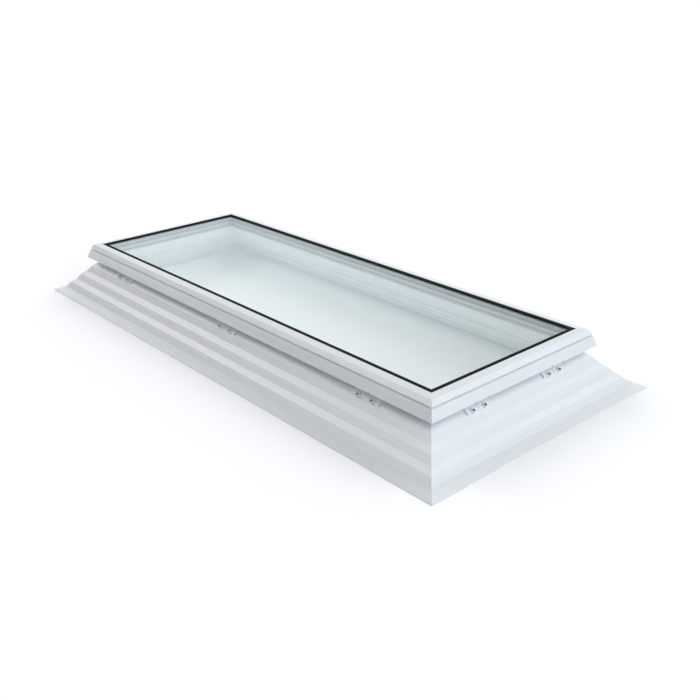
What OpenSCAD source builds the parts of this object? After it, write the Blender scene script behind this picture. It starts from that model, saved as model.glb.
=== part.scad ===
// Fixed flat-glass rooflight on a splayed multi-chamber kerb.
// Millimetres, +Z up, origin at the centre of the kerb's footprint, base at z = 0.
// Every bar is drawn as a section: q runs outwards from the clear opening, z runs up.

/* [Opening] */
// clear opening at the top of the kerb, along X
clear_l = 1800; // [1200:10:2600]
// clear opening at the top of the kerb, along Y
clear_w = 600; // [500:10:1400]

/* [Kerb] */
// height of the kerb without the frame
kerb_h = 150; // [125:1:190]
// height of the upright collar at the top of the kerb
collar_h = 30; // [26:1:36]
// how far the inner face leans out from top to bottom
splay = 100; // [90:1:105]
// thickness of the sloping wall, measured level
wall_t = 45; // [37:0.5:54]
// width of the foot, from the inner bottom edge to the tip
foot_w = 68; // [60:1:110]
// height of the foot where the sloping wall starts
foot_h = 14; // [12:1:16]
// thickness of the foot at its tip
foot_tip = 2.5; // [2:0.5:5]
// width of the kerb's top
top_w = 25; // [22:1:28]
// level thickness of the kerb's skins
skin = 4.2; // [3:0.1:5]
// thickness of the webs between the chambers
web = 3; // [2:0.5:4]
// radius of the bend in the inner face
bend_r = 60; // [30:5:70]

/* [Ribs] */
// height of one steep facet, as a share of the sloping wall's height
facet_share = 0.19; // [0.16:0.005:0.2]
// height of one flatter band, as a share of the sloping wall's height
band_share = 0.13; // [0.11:0.005:0.14]
// how much steeper than the whole wall a facet stands
facet_steep = 0.8; // [0.74:0.01:0.95]

/* [Frame] */
// height of the frame from its underside to the glazing ledge
ledge_h = 10.5; // [9:0.5:14]
// width of the glazing ledge
ledge_w = 24; // [22:1:26]
// height of the frame's upstand beside the glass
upstand_h = 11.5; // [10:0.5:14]
// outer edge of the upstand
upstand_q = 38; // [36:1:40]
// outer edge of the skirt at its shoulder
shoulder_q = 44.5; // [43:0.5:47]
// outer edge of the skirt at its lower tip
skirt_q = 56; // [53:0.5:60]
// how far the skirt hangs below the underside of the frame
skirt_drop = 13; // [12:0.5:16]
// level thickness of the skirt's tip
tip_t = 4; // [3:0.5:5]
// wall thickness of the frame and bezel
pvc_t = 2.5; // [2:0.1:3]

/* [Bezel] */
// radius of the bezel's top outer edge
bezel_r = 2.5; // [1.5:0.5:3.5]
// outer edge of the bezel's flat top
brow_q = 34; // [32:0.5:36]
// outer edge of the bezel
bezel_q = 42; // [41:0.5:44]
// inner edge of the bezel, over the glass
nose_q = 8; // [4:0.5:8]
// thickness of the bezel's nose over the glass
nose_t = 2.5; // [2:0.1:3]

/* [Glass] */
// thickness of one pane
pane_t = 4; // [3:0.5:5]
// gap between the panes
cavity = 16; // [14:0.5:20]
// how far the glass reaches out past the clear opening
glass_q = 20; // [18:1:21]
// where the spacer's inner face stands, from the clear opening
spacer_q = 1; // [0:0.5:4]
// width of the spacer bar
spacer_w = 7; // [6:0.5:9]
// wall thickness of the spacer bar
spacer_wall = 1; // [0.5:0.1:1.5]

/* [Seals] */
// thickness of the seal between the kerb and the frame
kerb_seal_t = 2; // [1.5:0.5:4]
// thickness of the gasket under the glass
inner_seal_t = 2.5; // [2:0.5:4]
// thickness of the gasket's foot between the bezel and the glass
outer_seal_t = 1.5; // [1:0.1:2.5]
// how far the visible lip reaches in over the glass
lip_w = 14; // [9:0.5:15]
// how far the lip rises towards the glass
lip_rise = 1.6; // [0:0.2:2]
// depth of the fine groove along the lip
lip_groove = 0.8; // [0.4:0.1:1.2]

/* [Clips] */
// length of one clip along the bar, on the long sides
clip_long = 57; // [45:0.5:60]
// length of one clip along the bar, on the short sides
clip_short = 46; // [40:0.5:55]
// gap between the two clips of a pair
clip_gap = 1; // [1:0.5:4]
// thickness of the clip
clip_t = 4.5; // [3.5:0.1:5]
// pairs of clips on each long side
pairs_long = 3; // [2:1:4]
// pairs of clips on each short side
pairs_short = 2; // [1:1:3]
// spacing of the pairs on the long sides
pitch_long = 690; // [500:10:700]
// spacing of the pairs on the short sides
pitch_short = 324; // [250:2:340]
// diameter of the boss round a screw
boss_d = 14; // [12.5:0.5:15]
// height of the boss
boss_h = 4.5; // [3:0.5:5.5]
// diameter of the screw's head
head_d = 8; // [7:0.5:9]
// diameter of the screw's shank
shank_d = 4.8; // [4:0.1:5.5]
// length of the screw under its head
shank_l = 22; // [18:1:24]
// radius of the notch in the skirt above each screw
notch_r = 3.5; // [2:0.5:4]

/* [Packers] */
// length of one glazing packer
packer_l = 100; // [60:5:120]
// width of one glazing packer
packer_w = 3; // [2:0.5:3.5]

/* [Hidden] */
half_l = clear_l / 2;
half_w = clear_w / 2;
foot_q = splay + foot_w;
base_run = splay + wall_t - foot_h;
seat_z = kerb_h + kerb_seal_t;
ledge_z = seat_z + ledge_h;
upstand_z = ledge_z + upstand_h;
glass_z0 = ledge_z + inner_seal_t;
cavity_z0 = glass_z0 + pane_t;
cavity_z1 = cavity_z0 + cavity;
glass_z1 = cavity_z1 + pane_t;
nose_z0 = glass_z1 + outer_seal_t;
nose_z1 = nose_z0 + nose_t;
shoulder_z = upstand_z - 4.5;
groove_z = upstand_z - 2.5;
skirt_z = seat_z - skirt_drop;
skirt_run = (skirt_q - shoulder_q) / (shoulder_z - skirt_z);
hook_z = seat_z - 6;
hook_q = 40;
hook_t = 3;
slot_q = 30;
slot_w = 3.4;
slot_z = upstand_z - 8;
play = 0.25;
bezel_top = nose_z1 - 2;
bezel_cz = bezel_top - bezel_r;
bezel_foot = upstand_z + 3;
step_n = 3;
step_h = 0.8;
step_run = (bezel_q - brow_q) / step_n;
step_drop = (bezel_cz - bezel_foot - (step_n - 1) * step_h) / step_n;
collar_z = kerb_h - collar_h;
rise = collar_z - foot_h;
lean = (base_run - top_w) / rise;
lean_a = atan(lean);
rib_n = 3;
facet_h = facet_share * rise;
band_h = band_share * rise;
rib_h = facet_h + band_h;
facet_dq = facet_steep * lean * facet_h;
band_dq = (base_run - top_w - rib_n * facet_dq) * band_h / (rise - rib_n * facet_h);
big = foot_q + 40;

// outer face of the sloping wall, from the foot up to the kerb's collar
slope_z = [foot_h, foot_h + facet_h,
           foot_h + rib_h, foot_h + rib_h + facet_h,
           foot_h + 2 * rib_h, foot_h + 2 * rib_h + facet_h, collar_z];
slope_q = [base_run,
           base_run - facet_dq,
           base_run - facet_dq - band_dq,
           base_run - 2 * facet_dq - band_dq,
           base_run - 2 * facet_dq - 2 * band_dq,
           base_run - 3 * facet_dq - 2 * band_dq,
           top_w];

// inner face: a lean, a smooth bend and an upright top
bend_z = splay / lean + bend_r * tan(lean_a / 2);
bend_steps = 8;
bend = [for (i = [bend_steps : -1 : 0])
        [bend_r - bend_r * cos(lean_a * i / bend_steps),
         bend_z - bend_r * sin(lean_a * i / bend_steps)]];

// the top band carries the clips
band_z0 = slope_z[5];
band_q0 = slope_q[5];
band_len = sqrt(pow(band_q0 - top_w, 2) + pow(collar_z - band_z0, 2));
band_n = [(collar_z - band_z0) / band_len, (band_q0 - top_w) / band_len];
band_tilt = atan2(band_n[0], band_n[1]);
screw_s = 0.27;
toe_s = 0.12;
screw_q = band_q0 - screw_s * (band_q0 - top_w);
screw_z = band_z0 + screw_s * (collar_z - band_z0);
toe_q = band_q0 - toe_s * (band_q0 - top_w);
toe_z = band_z0 + toe_s * (collar_z - band_z0);
leg_q = top_w + 5;

function inner_q(z) = max(0, splay - lean * z);
function lerp(z, i) = slope_q[i] + (slope_q[i + 1] - slope_q[i])
                    * (z - slope_z[i]) / (slope_z[i + 1] - slope_z[i]);
function skirt_at(z) = shoulder_q + (shoulder_z - z) * skirt_run;

// --- placing ---------------------------------------------------------------

// side 0 right (+X), 1 back (+Y), 2 left (-X), 3 front (-Y)
function reach(side) = side % 2 == 0 ? half_l : half_w;
function run(side) = side % 2 == 0 ? half_w : half_l;

module on_side(side) {
    rotate([0, 0, 90 * side]) translate([reach(side), 0, 0]) children();
}

// a section swept along one side and mitred at both corners
module mitred(side) {
    on_side(side)
        intersection() {
            rotate([90, 0, 0])
                linear_extrude(height = 2 * (run(side) + big), center = true) children();
            linear_extrude(height = 2 * kerb_h)
                polygon([[-20, 20 - run(side)], [-20, run(side) - 20],
                         [big, run(side) + big], [big, -run(side) - big]]);
        }
}

// a level rectangular ring between two offsets from the clear opening
module ring(q0, q1, z0, z1) {
    translate([0, 0, z0])
        linear_extrude(height = z1 - z0)
            difference() {
                square([clear_l + 2 * q1, clear_w + 2 * q1], center = true);
                square([clear_l + 2 * q0, clear_w + 2 * q0], center = true);
            }
}

// --- sections --------------------------------------------------------------

module kerb_outline() {
    polygon(concat([[splay, 0]], bend, [[0, kerb_h], [top_w, kerb_h]],
                   [for (i = [6 : -1 : 0]) [slope_q[i], slope_z[i]]],
                   [[foot_q, foot_tip], [foot_q, 0]]));
}

// one chamber of the sloping wall, with the band's bend in its outer side
module wall_chamber(z0, zm, z1, i) {
    polygon([[inner_q(z0) + skin, z0], [lerp(z0, i) - skin, z0],
             [lerp(zm, i) - skin, zm], [lerp(z1, i + 1) - skin, z1],
             [inner_q(z1) + skin, z1]]);
}

module kerb_section() {
    difference() {
        kerb_outline();
        polygon([[splay - web + skin, web], [base_run + 7, web], [base_run - skin, foot_h],
                 [lerp(slope_z[1] - web / 2, 0) - skin, slope_z[1] - web / 2],
                 [inner_q(slope_z[1] - web / 2) + skin, slope_z[1] - web / 2]]);
        wall_chamber(slope_z[1] + web / 2, slope_z[2], slope_z[3] - web / 2, 1);
        wall_chamber(slope_z[3] + web / 2, slope_z[4], slope_z[5] - web / 2, 3);
        polygon([[skin + 2, slope_z[5] + web / 2], [lerp(slope_z[5] + web / 2, 5) - skin, slope_z[5] + web / 2],
                 [top_w + 1 - skin, collar_z], [skin, collar_z]]);
        translate([skin, collar_z + web])
            square([top_w - 2 * skin, kerb_h - collar_z - 2 * web]);
    }
}

module frame_section() {
    difference() {
        polygon([[0, seat_z], [0, ledge_z], [ledge_w, ledge_z], [ledge_w, upstand_z],
                 [upstand_q, upstand_z], [upstand_q, groove_z], [shoulder_q, shoulder_z],
                 [skirt_q, skirt_z], [skirt_q - tip_t, skirt_z],
                 [skirt_at(hook_z - hook_t) - tip_t, hook_z - hook_t],
                 [hook_q, hook_z - hook_t], [hook_q, hook_z],
                 [skirt_at(hook_z) - tip_t, hook_z], [skirt_at(seat_z) - tip_t, seat_z]]);
        translate([pvc_t, seat_z + pvc_t])
            square([ledge_w - 2 * pvc_t, ledge_h - 2 * pvc_t]);
        polygon([[ledge_w, seat_z + pvc_t],
                 [skirt_at(seat_z + pvc_t) - tip_t, seat_z + pvc_t],
                 [skirt_at(ledge_z - pvc_t) - tip_t, ledge_z - pvc_t],
                 [ledge_w, ledge_z - pvc_t]]);
        translate([slot_q, slot_z])
            square([slot_w, upstand_z - slot_z + 1]);
        translate([slot_q - 1, slot_z])
            square([slot_w + 2, 3]);
    }
}

module quarter(r) {
    intersection() {
        circle(r = r, $fn = 96);
        square(r + 1);
    }
}

// outer face of the bezel, downwards: sloping facets with fine upright steps between them
brow = [for (i = [0 : step_n - 1], k = [0, 1])
        [brow_q + (i + k) * step_run, bezel_cz - (i + k) * step_drop - i * step_h]];

function brow_at(z) = bezel_q - (z - bezel_foot) * (bezel_q - brow_q) / (bezel_cz - bezel_foot);

module bezel_section() {
    inside = 1.4 * pvc_t;
    z0 = upstand_z + pvc_t;
    z1 = bezel_top - pvc_t;
    difference() {
        union() {
            polygon(concat([[nose_q, nose_z1], [nose_q, nose_z0], [ledge_w, nose_z0],
                            [ledge_w, upstand_z], [bezel_q, upstand_z]],
                           [for (i = [2 * step_n - 1 : -1 : 0]) brow[i]],
                           [[brow_q - bezel_r, bezel_cz], [brow_q - bezel_r, bezel_top]]));
            translate([brow_q - bezel_r, bezel_cz]) quarter(bezel_r);
            translate([slot_q + play, slot_z + 1])
                square([slot_w - 2 * play, upstand_z - slot_z]);
            translate([slot_q + play, slot_z + 1])
                square([slot_w - play + 0.6, 1.8]);
        }
        polygon([[ledge_w + pvc_t, z1], [ledge_w + pvc_t, z0],
                 [brow_at(z0) - inside, z0], [brow_at(z1) - inside, z1]]);
    }
}

// --- kerb ------------------------------------------------------------------

// the bores the clip screws cut in the kerb's outer skin
module screw_bores(side) {
    for (y = clip_centres(side))
        at_screw(side, y)
            translate([0, 0, -shank_l])
                cylinder(d = shank_d + 0.2, h = shank_l + 1, $fn = 32);
}

module kerb_bar(side) {
    color([0.93, 0.94, 0.95])
        difference() {
            mitred(side) kerb_section();
            screw_bores(side);
        }
}

module kerb_right() { kerb_bar(0); }
module kerb_back() { kerb_bar(1); }
module kerb_left() { kerb_bar(2); }
module kerb_front() { kerb_bar(3); }

module kerb_seal() {
    color([0.06, 0.06, 0.07]) ring(2, top_w - 2, kerb_h, seat_z);
}

// --- frame with its drip skirt ----------------------------------------------

// notches in the skirt's lower edge that let a driver reach the screws
module skirt_notches(side) {
    for (y = clip_centres(side))
        on_side(side)
            translate([skirt_q - tip_t - 1, y, skirt_z])
                rotate([0, 90, 0]) cylinder(r = notch_r, h = tip_t + 3, $fn = 32);
}

module frame_bar(side) {
    color([0.94, 0.95, 0.96])
        difference() {
            mitred(side) frame_section();
            skirt_notches(side);
        }
}

module frame_right() { frame_bar(0); }
module frame_back() { frame_bar(1); }
module frame_left() { frame_bar(2); }
module frame_front() { frame_bar(3); }

// --- glazing bezel -----------------------------------------------------------

module bezel_bar(side) {
    color([0.96, 0.96, 0.97]) mitred(side) bezel_section();
}

module bezel_right() { bezel_bar(0); }
module bezel_back() { bezel_bar(1); }
module bezel_left() { bezel_bar(2); }
module bezel_front() { bezel_bar(3); }

// --- glass unit and its gaskets ----------------------------------------------

module pane(z0) {
    color([0.80, 0.90, 0.90, 0.35])
        translate([-half_l - glass_q, -half_w - glass_q, z0])
            cube([clear_l + 2 * glass_q, clear_w + 2 * glass_q, pane_t]);
}

module outer_pane() { pane(cavity_z1); }
module inner_pane() { pane(glass_z0); }

module spacer_frame() {
    color([0.72, 0.73, 0.75])
        difference() {
            ring(spacer_q, spacer_q + spacer_w, cavity_z0, cavity_z1);
            ring(spacer_q + spacer_wall, spacer_q + spacer_w - spacer_wall,
                 cavity_z0 + spacer_wall, cavity_z1 - spacer_wall);
        }
}

module edge_sealant() {
    color([0.10, 0.10, 0.11]) ring(spacer_q + spacer_w, glass_q, cavity_z0, cavity_z1);
}

module inner_gasket() {
    color([0.72, 0.73, 0.74]) ring(0.5, glass_q - 1, ledge_z, glass_z0);
}

// the lip is level with the bezel's nose, with a fine groove along it
function lip_top(run) = nose_z1 - 0.4 + lip_rise * run / lip_w;

module lip_section() {
    polygon([[nose_q - lip_w, glass_z1], [nose_q, glass_z1], [nose_q, lip_top(0)],
             [nose_q - 5, lip_top(5)], [nose_q - 5.4, lip_top(5.4) - lip_groove],
             [nose_q - 6.6, lip_top(6.6) - lip_groove], [nose_q - 7, lip_top(7)],
             [nose_q - lip_w + 1.5, lip_top(lip_w - 1.5)],
             [nose_q - lip_w + 0.4, lip_top(lip_w) - 1.2]]);
}

module outer_gasket() {
    color([0.05, 0.05, 0.06])
        union() {
            ring(nose_q, nose_q + 12, glass_z1, nose_z0);
            for (side = [0 : 3]) mitred(side) lip_section();
        }
}

// packers stand between the edge of the glass and the frame's upstand
module packers_on(side, n, pitch) {
    on_side(side)
        for (i = [0 : n - 1])
            translate([glass_q, (i - (n - 1) / 2) * pitch - packer_l / 2, ledge_z])
                cube([packer_w, packer_l, glass_z1 - ledge_z - 6]);
}

module packers() {
    color([0.15, 0.35, 0.60])
        for (k = [0 : 1]) {
            packers_on(2 * k, 2, clear_w * 0.6);
            packers_on(2 * k + 1, 4, clear_l * 0.27);
        }
}

// --- fixing clips --------------------------------------------------------------

function pair_n(side) = side % 2 == 0 ? pairs_short : pairs_long;
function pair_pitch(side) = side % 2 == 0 ? pitch_short : pitch_long;
function clip_l(side) = side % 2 == 0 ? clip_short : clip_long;
function clip_centres(side) = [for (i = [0 : pair_n(side) - 1], k = [-1, 1])
    (i - (pair_n(side) - 1) / 2) * pair_pitch(side) + k * (clip_l(side) + clip_gap) / 2];

// local frame of a screw: z outwards from the band, origin on the band
module at_screw(side, y) {
    on_side(side)
        translate([screw_q, y, screw_z]) rotate([0, band_tilt, 0]) children();
}

module clip_section() {
    toe = [toe_q + clip_t * band_n[0], toe_z + clip_t * band_n[1]];
    knee_z = toe[1] + (toe[0] - leg_q) * (collar_z - band_z0) / (band_q0 - top_w);
    polygon([[toe_q, toe_z], toe, [leg_q, knee_z], [leg_q, hook_z],
             [hook_q + 4, hook_z], [hook_q + 4, hook_z + 3.4], [top_w, hook_z + 3.4],
             [top_w, collar_z]]);
}

module clip(side, y) {
    difference() {
        union() {
            on_side(side)
                translate([0, y, 0])
                    rotate([90, 0, 0])
                        linear_extrude(height = clip_l(side), center = true) clip_section();
            at_screw(side, y) cylinder(d = boss_d, h = clip_t + boss_h, $fn = 48);
        }
        at_screw(side, y) {
            translate([0, 0, -1]) cylinder(d = shank_d + 0.2, h = clip_t + boss_h + 2, $fn = 32);
            translate([0, 0, clip_t]) cylinder(d = head_d + 1.4, h = boss_h + 1, $fn = 48);
        }
    }
}

module clips(side) {
    color([0.95, 0.95, 0.96])
        for (y = clip_centres(side)) clip(side, y);
}

module clips_right() { clips(0); }
module clips_back() { clips(1); }
module clips_left() { clips(2); }
module clips_front() { clips(3); }

// pan-head screw with a cross recess and a pointed end
module screw() {
    tip_l = 5;
    difference() {
        union() {
            translate([0, 0, clip_t]) cylinder(d = head_d, h = 2.4, $fn = 48);
            translate([0, 0, clip_t - shank_l + tip_l])
                cylinder(d = shank_d, h = shank_l - tip_l + 0.5, $fn = 32);
            translate([0, 0, clip_t - shank_l])
                cylinder(d1 = 0.8, d2 = shank_d, h = tip_l, $fn = 32);
        }
        for (a = [0, 90])
            rotate([0, 0, a])
                translate([-2.4, -0.5, clip_t + 0.9]) cube([4.8, 1, 3]);
    }
}

module clip_screws(side) {
    color([0.22, 0.22, 0.23])
        for (y = clip_centres(side)) at_screw(side, y) screw();
}

module screws_right() { clip_screws(0); }
module screws_back() { clip_screws(1); }
module screws_left() { clip_screws(2); }
module screws_front() { clip_screws(3); }

kerb_right();
kerb_back();
kerb_left();
kerb_front();
kerb_seal();
frame_right();
frame_back();
frame_left();
frame_front();
bezel_right();
bezel_back();
bezel_left();
bezel_front();
outer_pane();
inner_pane();
spacer_frame();
edge_sealant();
inner_gasket();
outer_gasket();
packers();
clips_right();
clips_back();
clips_left();
clips_front();
screws_right();
screws_back();
screws_left();
screws_front();
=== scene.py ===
import math

import bpy
from mathutils import Matrix, Vector


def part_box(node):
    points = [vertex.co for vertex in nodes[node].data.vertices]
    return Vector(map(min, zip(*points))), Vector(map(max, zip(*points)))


SIDES = ("right", "back", "left", "front")

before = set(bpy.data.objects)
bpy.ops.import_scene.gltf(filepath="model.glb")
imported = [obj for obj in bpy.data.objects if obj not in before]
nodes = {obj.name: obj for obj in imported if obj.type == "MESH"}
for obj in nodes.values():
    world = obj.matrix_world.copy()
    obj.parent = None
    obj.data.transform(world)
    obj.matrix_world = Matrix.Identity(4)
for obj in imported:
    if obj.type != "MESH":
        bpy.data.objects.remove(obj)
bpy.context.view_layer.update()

# The clear opening, from which every bar is measured outwards.
HALF_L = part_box("frame_right")[0].x
HALF_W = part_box("frame_back")[0].y


# --- node helpers -----------------------------------------------------------------


def feed(tree, slot, value):
    """Links a socket to an input, or sets the input to a value."""
    if isinstance(value, bpy.types.NodeSocket):
        tree.links.new(value, slot)
    else:
        slot.default_value = value


def put(tree, kind, props=None, **inputs):
    """Adds a node; each input is a socket or a value, by the input's name or as in_NUMBER."""
    made = tree.nodes.new(kind)
    for key, value in (props or {}).items():
        setattr(made, key, value)
    for key, value in inputs.items():
        by_number = key.startswith("in_")
        feed(tree, made.inputs[int(key[3:]) if by_number else key.replace("_", " ")], value)
    return made


def maths(tree, operation, a, b=0.0):
    return put(tree, "ShaderNodeMath", {"operation": operation}, in_0=a, in_1=b).outputs[0]


def weighted(tree, *pairs):
    """The sum of each value times its weight."""
    parts = [maths(tree, "MULTIPLY", value, weight) for value, weight in pairs]
    total = parts.pop()
    while parts:
        total = maths(tree, "ADD", parts.pop(), total)
    return total


def ranged(tree, value, low, high, to_low=0.0, to_high=1.0):
    """The value, spread from low..high to to_low..to_high."""
    made = put(tree, "ShaderNodeMapRange", None, Value=value, From_Min=low, From_Max=high,
               To_Min=to_low, To_Max=to_high)
    return made.outputs[0]


def noise(tree, place, per_metre, detail=2.0, rough=0.5, distort=0.0):
    """Noise with its own number of waves per metre along each axis of the place."""
    vector = put(tree, "ShaderNodeVectorMath", {"operation": "MULTIPLY"}, in_0=place, in_1=per_metre).outputs[0]
    made = put(tree, "ShaderNodeTexNoise", None, Vector=vector, Scale=1.0, Detail=detail, Roughness=rough,
               Distortion=distort)
    return made.outputs["Fac"]


def blend_colour(tree, factor, a, b):
    made = put(tree, "ShaderNodeMix", {"data_type": "RGBA"}, in_0=factor, in_6=a, in_7=b)
    return made.outputs[2]


def rgb(r, g, b):
    return (r, g, b, 1.0)


def new_material(name):
    made = bpy.data.materials.new(name)
    made.use_nodes = True
    made.node_tree.nodes.clear()
    return made, made.node_tree


def close(tree, shader):
    put(tree, "ShaderNodeOutputMaterial", None, Surface=shader)


def close_solid(tree, colour, roughness, height, depth, **more):
    """Ends an opaque material, with its relief DEPTH metres deep."""
    relief = put(tree, "ShaderNodeBump", None, Strength=1.0, Distance=depth, Height=height).outputs[0]
    shader = put(tree, "ShaderNodeBsdfPrincipled", None, Base_Color=colour, Roughness=roughness, Normal=relief,
                 **more)
    close(tree, shader.outputs[0])


def in_object(tree):
    return put(tree, "ShaderNodeTexCoord").outputs["Object"]


def bar_space():
    """A node group that gives a point as (along the bar, out from the opening, up), in metres."""
    group = bpy.data.node_groups.new("bar_space", "ShaderNodeTree")
    group.interface.new_socket("Place", in_out="OUTPUT", socket_type="NodeSocketVector")
    group.interface.new_socket("Up", in_out="OUTPUT", socket_type="NodeSocketFloat")
    x, y, z = put(group, "ShaderNodeSeparateXYZ", None, in_0=in_object(group)).outputs
    past_x = maths(group, "SUBTRACT", maths(group, "ABSOLUTE", x), HALF_L)
    past_y = maths(group, "SUBTRACT", maths(group, "ABSOLUTE", y), HALF_W)
    short = maths(group, "GREATER_THAN", past_x, past_y)
    along = put(group, "ShaderNodeMix", {"data_type": "FLOAT"}, in_0=short, in_2=x, in_3=y).outputs[0]
    out = maths(group, "MAXIMUM", past_x, past_y)
    joined = put(group, "ShaderNodeCombineXYZ", None, X=along, Y=out, Z=z).outputs[0]
    put(group, "NodeGroupOutput", None, Place=joined, Up=z)
    return group


BAR = bar_space()


def in_bar(tree):
    return put(tree, "ShaderNodeGroup", {"node_tree": BAR}).outputs


# --- materials --------------------------------------------------------------------

FOOT_TOP = 0.016  # dust gathers on the foot flange, up to this height
FOOT_DUST = rgb(0.47, 0.45, 0.42)


def pvc(name, light, dark, smooth, rough, dust=0.0):
    """White extruded PVC: lines from the die along the bar, a faint cloudiness and a fine grain."""
    made, tree = new_material(name)
    bar, whole = in_bar(tree), in_object(tree)
    die = noise(tree, bar["Place"], (0.6, 1000.0, 1000.0), 2.0, 0.55)
    fine = noise(tree, bar["Place"], (2.5, 2900.0, 2900.0), 1.0)
    cloud = noise(tree, whole, (5.0, 5.0, 9.0), 3.0)
    grain = noise(tree, whole, (2400.0, 2400.0, 2400.0), 1.0)
    smear = noise(tree, bar["Place"], (6.0, 60.0, 60.0), 3.0)
    tone = weighted(tree, (die, 0.25), (cloud, 0.75))
    colour = blend_colour(tree, ranged(tree, tone, 0.35, 0.65), dark, light)
    if dust:
        low = ranged(tree, bar["Up"], 0.0, FOOT_TOP, 1.0, 0.0)
        patchy = ranged(tree, smear, 0.42, 0.7)
        cover = maths(tree, "MULTIPLY", maths(tree, "MULTIPLY", low, patchy), dust)
        colour = blend_colour(tree, cover, colour, FOOT_DUST)
    handled = ranged(tree, smear, 0.4, 0.7, 0.0, 0.005)
    roughness = maths(tree, "ADD", ranged(tree, die, 0.3, 0.7, smooth, rough), handled)
    height = weighted(tree, (die, 0.6), (fine, 0.25), (grain, 0.15))
    close_solid(tree, colour, roughness, height, 0.0000025, IOR=1.53)
    return made


def moulded_plastic(name, light, dark):
    """Injection-moulded plastic with a spark-eroded grain and flow marks."""
    made, tree = new_material(name)
    whole = in_object(tree)
    grain = noise(tree, whole, (1500.0, 1500.0, 1500.0))
    flow = noise(tree, whole, (60.0, 60.0, 60.0), 3.0, 0.6, 1.2)
    colour = blend_colour(tree, ranged(tree, flow, 0.35, 0.65), dark, light)
    roughness = ranged(tree, grain, 0.3, 0.7, 0.3, 0.46)
    close_solid(tree, colour, roughness, grain, 0.00006, IOR=1.5)
    return made


def black_steel(name):
    """Black phosphated steel with turning marks and paler worn patches."""
    made, tree = new_material(name)
    whole = in_object(tree)
    patch = noise(tree, whole, (420.0, 420.0, 420.0), 3.0, 0.6)
    marks = noise(tree, whole, (900.0, 900.0, 5200.0))
    black, worn = rgb(0.045, 0.046, 0.05), rgb(0.12, 0.12, 0.125)
    colour = blend_colour(tree, ranged(tree, patch, 0.35, 0.65), black, worn)
    roughness = ranged(tree, marks, 0.3, 0.7, 0.34, 0.5)
    close_solid(tree, colour, roughness, marks, 0.00003, Metallic=1.0)
    return made


def rubber(name, dark, light, rough_low, rough_high):
    """Extruded rubber with a matt skin and a trace of bloom."""
    made, tree = new_material(name)
    bar, whole = in_bar(tree), in_object(tree)
    lines = noise(tree, bar["Place"], (1.5, 1100.0, 1100.0))
    pores = noise(tree, whole, (1900.0, 1900.0, 1900.0))
    bloom = noise(tree, bar["Place"], (22.0, 90.0, 90.0), 4.0, 0.6)
    tone = weighted(tree, (lines, 0.4), (bloom, 0.6))
    colour = blend_colour(tree, ranged(tree, tone, 0.35, 0.68), dark, light)
    roughness = ranged(tree, pores, 0.3, 0.7, rough_low, rough_high)
    height = weighted(tree, (lines, 0.5), (pores, 0.5))
    close_solid(tree, colour, roughness, height, 0.00012, IOR=1.25)
    return made


def sealant(name):
    """Polysulphide sealant, tooled by hand, with a skin of fine ripples; its colour has painted shade in the
    ripples' hollows and a painted highlight on their crests.
    """
    made, tree = new_material(name)
    ripple = noise(tree, in_bar(tree)["Place"], (130.0, 380.0, 380.0), 3.0, 0.55, 0.6)
    # Painted shade and painted highlight: the ripples' hollows are coloured darker and their crests lighter.
    painted_hollow_shade, painted_crest_light = rgb(0.012, 0.012, 0.013), rgb(0.03, 0.03, 0.032)
    colour = blend_colour(tree, ranged(tree, ripple, 0.3, 0.7), painted_hollow_shade, painted_crest_light)
    roughness = ranged(tree, ripple, 0.3, 0.7, 0.34, 0.52)
    close_solid(tree, colour, roughness, ripple, 0.0004, IOR=1.5)
    return made


def spacer_metal(name):
    """Roll-formed spacer bar with a dull skin: rolling lines along it and faint patches."""
    made, tree = new_material(name)
    bar = in_bar(tree)
    lines = noise(tree, bar["Place"], (3.0, 2600.0, 2600.0), 3.0, 0.6)
    patch = noise(tree, bar["Place"], (20.0, 60.0, 60.0), 3.0)
    tone = weighted(tree, (lines, 0.6), (patch, 0.4))
    dull, bright = rgb(0.31, 0.32, 0.325), rgb(0.37, 0.38, 0.385)
    colour = blend_colour(tree, ranged(tree, tone, 0.35, 0.65), dull, bright)
    roughness = ranged(tree, lines, 0.3, 0.7, 0.5, 0.64)
    close_solid(tree, colour, roughness, lines, 0.00004, Metallic=0.5)
    return made


# A pane mirrors at both of its faces; one face with this index mirrors as much as two of 1.52.
PANE_IOR = 1.8
PANE_DUST = 0.05  # the most that specks of dust cover


def glass(name, tint):
    """Flat float glass: it mirrors by its angle on the way in and tints what is seen through it."""
    made, tree = new_material(name)
    whole = in_object(tree)
    film = noise(tree, whole, (7.0, 11.0, 7.0), 4.0, 0.6, 0.7)
    specks = noise(tree, whole, (700.0, 700.0, 700.0))
    dusty = maths(tree, "MULTIPLY", ranged(tree, film, 0.45, 0.7), ranged(tree, specks, 0.62, 0.75))
    clear = put(tree, "ShaderNodeBsdfTransparent", None, Color=tint).outputs[0]
    polish = ranged(tree, film, 0.35, 0.7, 0.02, 0.06)
    gloss = put(tree, "ShaderNodeBsdfGlossy", None, Color=rgb(0.97, 0.99, 1.0), Roughness=polish).outputs[0]
    fresnel = put(tree, "ShaderNodeFresnel", None, IOR=PANE_IOR).outputs[0]
    behind = put(tree, "ShaderNodeNewGeometry").outputs["Backfacing"]
    share = maths(tree, "MULTIPLY", fresnel, maths(tree, "SUBTRACT", 1.0, behind))
    body = put(tree, "ShaderNodeMixShader", None, in_0=share, in_1=clear, in_2=gloss).outputs[0]
    dust = put(tree, "ShaderNodeBsdfDiffuse", None, Color=rgb(0.75, 0.77, 0.76)).outputs[0]
    cover = maths(tree, "MULTIPLY", dusty, PANE_DUST)
    close(tree, put(tree, "ShaderNodeMixShader", None, in_0=cover, in_1=body, in_2=dust).outputs[0])
    return made


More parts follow.
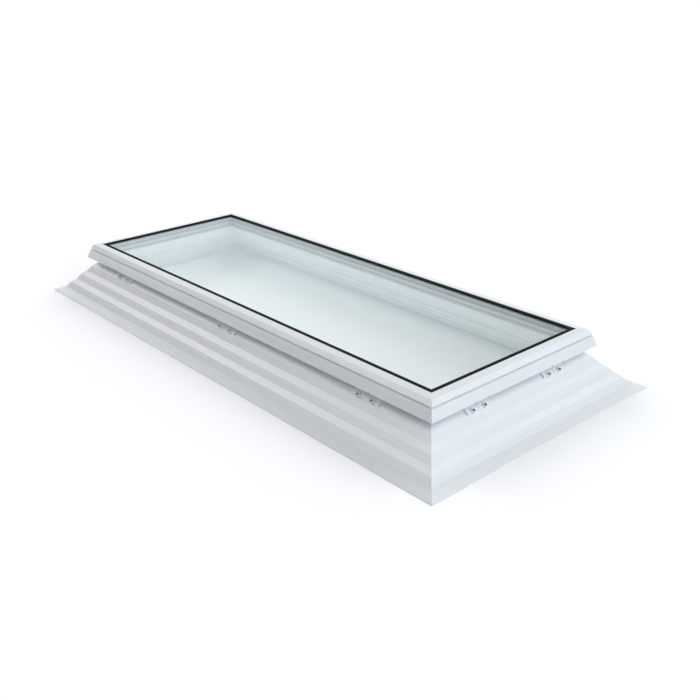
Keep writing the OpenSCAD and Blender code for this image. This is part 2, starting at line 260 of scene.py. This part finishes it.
def pale_floor(name):
    made, tree = new_material(name)
    tone = noise(tree, in_object(tree), (1.2, 1.2, 1.2), 3.0)
    colour = blend_colour(tree, tone, rgb(0.977, 0.977, 0.977), rgb(0.987, 0.987, 0.987))
    close(tree, put(tree, "ShaderNodeBsdfDiffuse", None, Color=colour).outputs[0])
    return made


# One material of each kind of piece; a node name ending in _ stands for one piece on each side.
FINISH = {
    "kerb_": pvc("kerb_pvc_white", rgb(0.685, 0.70, 0.72), rgb(0.673, 0.688, 0.708), 0.266, 0.276, dust=0.05),
    "frame_": pvc("frame_pvc_white", rgb(0.67, 0.685, 0.705), rgb(0.658, 0.673, 0.693), 0.285, 0.295),
    "bezel_": pvc("bezel_pvc_white", rgb(0.695, 0.705, 0.72), rgb(0.683, 0.693, 0.708), 0.285, 0.295),
    "clips_": moulded_plastic("clip_plastic_white", rgb(0.71, 0.73, 0.75), rgb(0.69, 0.705, 0.73)),
    "screws_": black_steel("screw_black"),
    "outer_gasket": rubber("gasket_epdm", rgb(0.005, 0.0055, 0.0065), rgb(0.011, 0.0125, 0.015), 0.68, 0.84),
    "kerb_seal": rubber("seal_epdm", rgb(0.014, 0.014, 0.015), rgb(0.03, 0.03, 0.032), 0.6, 0.8),
    "inner_gasket": rubber("seal_tpe_grey", rgb(0.50, 0.51, 0.52), rgb(0.60, 0.61, 0.62), 0.5, 0.66),
    "edge_sealant": sealant("edge_sealant_black"),
    "spacer_frame": spacer_metal("spacer_aluminium_mill"),
    "outer_pane": glass("float_glass", rgb(0.981, 0.984, 0.979)),
    "packers": moulded_plastic("packer_blue", rgb(0.06, 0.17, 0.36), rgb(0.045, 0.14, 0.31)),
}
FINISH["inner_pane"] = FINISH["outer_pane"]

for kind, material in FINISH.items():
    for name in [kind + side for side in SIDES] if kind.endswith("_") else [kind]:
        for place in nodes[name].material_slots:
            place.material = material


# --- edges ------------------------------------------------------------------------

WELD_GAP = 1e-5
FLAT_WITHIN = math.radians(0.5)
SHARP = math.radians(20.0)
SHARP_CLIP = math.radians(30.0)


def ease_edges(kind, width, sharp=SHARP):
    """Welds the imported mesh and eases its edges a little, as a die and a weld cleaner leave them."""
    for side in SIDES:
        modifiers = nodes[kind + side].modifiers
        modifiers.new("weld", "WELD").merge_threshold = WELD_GAP
        plain = modifiers.new("plain", "DECIMATE")
        plain.decimate_type = "DISSOLVE"
        plain.angle_limit = FLAT_WITHIN
        eased = modifiers.new("eased", "BEVEL")
        eased.width = width
        eased.segments = 2
        eased.limit_method = "ANGLE"
        eased.angle_limit = sharp
        eased.harden_normals = True


ease_edges("kerb_", 0.0007)
ease_edges("frame_", 0.0005)
ease_edges("bezel_", 0.0003)
ease_edges("clips_", 0.0004, SHARP_CLIP)


# --- studio -----------------------------------------------------------------------

FLOOR_HALF = 30.0
FLOOR_DROP = 0.0005  # the floor lies this far under the foot, so that they share no plane

# Soft boxes on the studio's walls and ceiling: bearing from +X, height, brightness, tint and fall.
# The fall is the power of the box's fall-off: a higher power makes a smaller box.
WIDE, SMALL = 8.0, 48.0
SOFT_BOXES = {
    "right": (0.0, 12.0, 3.6, (0.87, 1.0, 1.10), WIDE),
    "behind": (90.0, 12.0, 1.35, (0.95, 1.0, 0.95), WIDE),
    "behind left": (135.0, 12.0, 1.27, (0.86, 1.0, 1.06), WIDE),
    "left": (180.0, 12.0, 1.07, (0.98, 1.0, 1.0), WIDE),
    "high front left": (225.0, 48.0, 0.64, (1.0, 1.0, 1.0), WIDE),
    "left strip": (191.0, 37.0, 4.8, (1.04, 1.0, 1.0), SMALL),
    "front left strip": (225.0, 40.0, 4.6, (1.0, 1.0, 1.0), SMALL),
    "high right": (30.0, 48.0, 5.2, (1.06, 1.0, 1.0), SMALL),
    "behind right": (60.0, 36.0, 3.7, (1.02, 1.0, 0.99), SMALL),
    "high behind": (90.0, 48.0, 3.4, (1.03, 1.0, 1.0), SMALL),
}

SENSOR_MM = 36.0
LENS_MM = 46.114
CAMERA_PLACE = (2.338, -1.804, 1.234)
CAMERA_RIGHT = (0.658, 0.753, -0.022)
CAMERA_FORWARD = (-0.694, 0.594, -0.406)
CAMERA_REACH = 200.0


def make_floor():
    half = FLOOR_HALF
    mesh = bpy.data.meshes.new("floor")
    corners = [(-half, -half, 0.0), (half, -half, 0.0), (half, half, 0.0), (-half, half, 0.0)]
    mesh.from_pydata(corners, [], [(0, 1, 2, 3)])
    mesh.materials.append(pale_floor("floor_white"))
    floor = bpy.data.objects.new("floor", mesh)
    floor.location.z = -FLOOR_DROP
    bpy.context.scene.collection.objects.link(floor)


def soft_box(tree, ray, bearing, height, brightness, tint, fall):
    """One round patch of light on the sky, as a colour."""
    turn, lift = math.radians(bearing), math.radians(height)
    centre = Vector((math.cos(turn) * math.cos(lift), math.sin(turn) * math.cos(lift), math.sin(lift)))
    dot = put(tree, "ShaderNodeVectorMath", {"operation": "DOT_PRODUCT"}, in_0=ray, in_1=centre)
    facing = maths(tree, "MAXIMUM", dot.outputs["Value"], 0.0)
    patch = maths(tree, "POWER", facing, fall)
    colour = [brightness * part for part in tint]
    return put(tree, "ShaderNodeVectorMath", {"operation": "SCALE"}, in_0=colour, Scale=patch).outputs[0]


def make_light():
    """A white studio lit by soft boxes only; the camera itself sees a plain white backdrop."""
    world = bpy.data.worlds.new("studio")
    bpy.context.scene.world = world
    world.use_nodes = True
    tree = world.node_tree
    ray = put(tree, "ShaderNodeTexCoord").outputs["Generated"]
    first, *others = [soft_box(tree, ray, *box) for box in SOFT_BOXES.values()]
    total = first
    for patch in others:
        total = put(tree, "ShaderNodeVectorMath", {"operation": "ADD"}, in_0=total, in_1=patch).outputs[0]
    seen = put(tree, "ShaderNodeLightPath").outputs["Is Camera Ray"]
    feed(tree, tree.nodes["Background"].inputs["Color"], blend_colour(tree, seen, total, rgb(1.0, 1.0, 1.0)))
    bpy.context.scene.view_settings.view_transform = "Standard"


def make_camera():
    data = bpy.data.cameras.new("camera")
    data.sensor_width = SENSOR_MM
    data.lens = LENS_MM
    data.clip_end = CAMERA_REACH
    forward = Vector(CAMERA_FORWARD).normalized()
    up = Vector(CAMERA_RIGHT).normalized().cross(forward).normalized()
    right = forward.cross(up)
    turn = Matrix((right, up, -forward)).transposed().to_4x4()
    camera = bpy.data.objects.new("camera", data)
    camera.matrix_world = Matrix.Translation(CAMERA_PLACE) @ turn
    bpy.context.scene.collection.objects.link(camera)
    bpy.context.scene.camera = camera


make_floor()
make_light()
make_camera()
